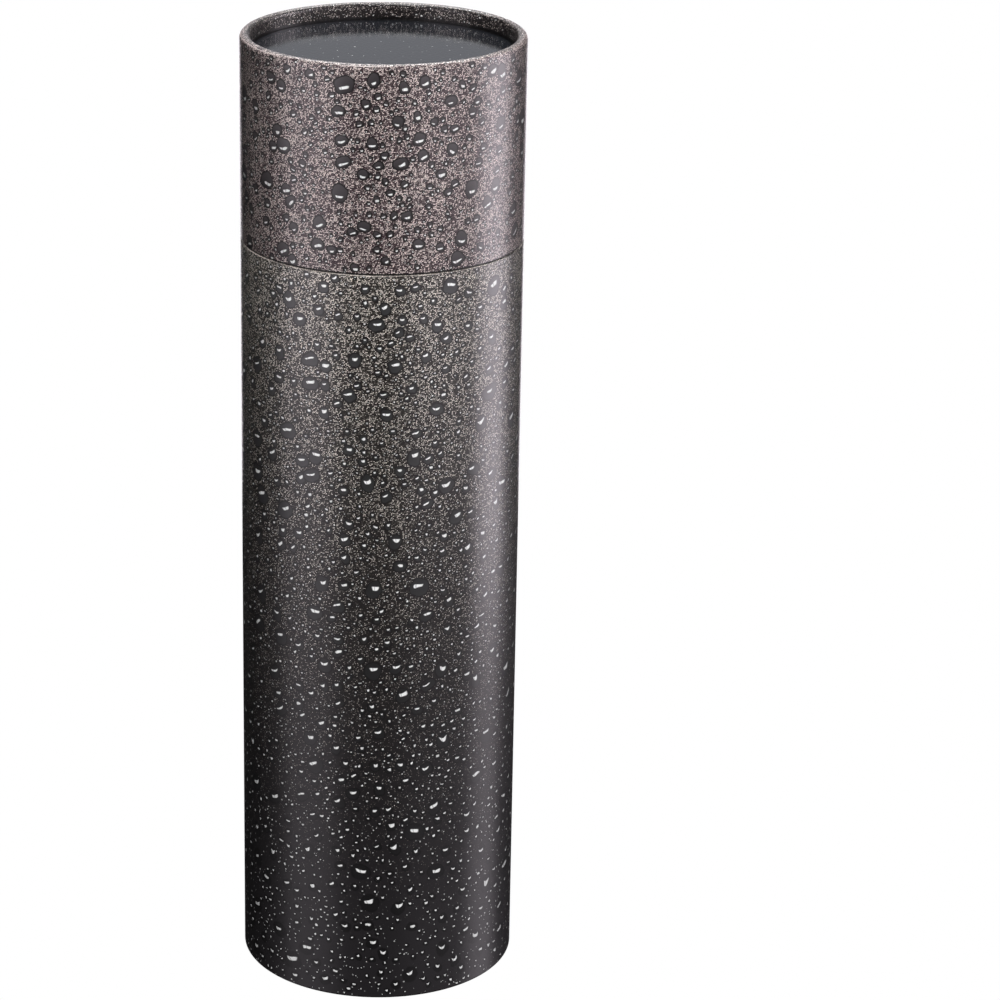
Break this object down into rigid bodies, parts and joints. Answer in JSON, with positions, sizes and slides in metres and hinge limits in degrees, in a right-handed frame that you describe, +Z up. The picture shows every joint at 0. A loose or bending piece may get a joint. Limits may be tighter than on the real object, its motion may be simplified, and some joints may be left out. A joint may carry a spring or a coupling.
{
  "type": "cylindrical gift tube box",
  "caption": "Tall round paper tube box with a flush lift-off lid over an inner neck, recessed covered ends and a printed water-drop wrap.",
  "frame": {"origin": "centre of the base, on the surface that the box stands on", "axes": "+Z up along the tube's axis, -Y towards the front as pictured, +X to its right; the lap seams of the printed papers are at the back, on +Y"},
  "size_m": [0.085, 0.0852, 0.296],
  "materials": {
    "printed_paper": "satin",
    "disc_paper": "satin",
    "lining_paper": "matte",
    "greyboard": "matte"
  },
  "bodies": {
    "body": {"body_tube": "greyboard", "body_wrap": "printed_paper", "neck_tube": "greyboard", "neck_wrap": "lining_paper", "bore_lining": "lining_paper", "base_disc": "greyboard", "base_paper": "disc_paper", "floor_paper": "lining_paper"},
    "lid": {"lid_tube": "greyboard", "lid_wrap": "printed_paper", "lid_lining": "lining_paper", "lid_top_disc": "greyboard", "lid_top_paper": "disc_paper", "lid_ceiling_paper": "lining_paper"}
  },
  "joints": [
    {"name": "lid_lift", "type": "slide", "parent": "body", "child": "lid", "axis": [0, 0, 1], "range_m": [0, 0.27]}
  ]
}
